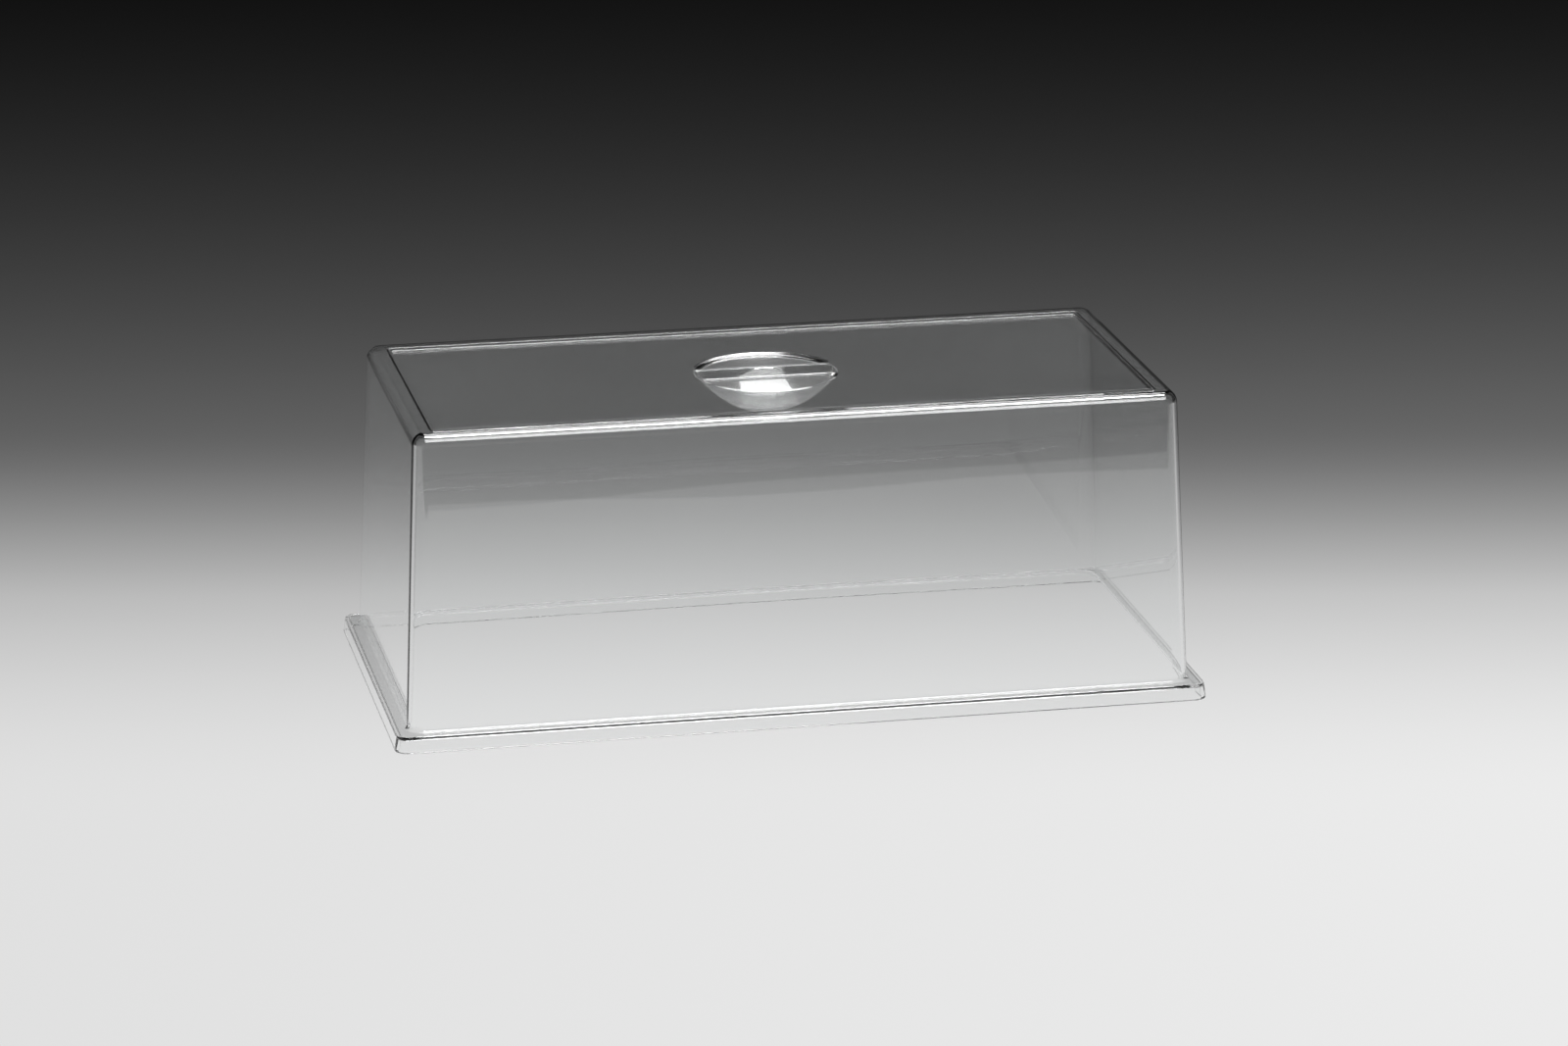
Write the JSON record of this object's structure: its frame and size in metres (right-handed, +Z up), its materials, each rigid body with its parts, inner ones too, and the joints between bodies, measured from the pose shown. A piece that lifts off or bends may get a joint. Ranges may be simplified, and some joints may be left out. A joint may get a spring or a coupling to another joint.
{
  "type": "clear display cover",
  "caption": "Clear rectangular plastic cover, open at the bottom, with a flanged foot, a raised top rim, and a grip bridge over a round finger bowl.",
  "frame": {"origin": "on the table, under the middle of the cover", "axes": "+X along the cover's length and its grip bridge, -Y towards the viewer, +Z up"},
  "size_m": [0.563, 0.2842, 0.2146],
  "materials": {
    "clear_polycarbonate": "clear, glossy, see-through"
  },
  "bodies": {
    "root": {"cover_shell": "clear_polycarbonate", "recess_bowl": "clear_polycarbonate"}
  },
  "joints": []
}
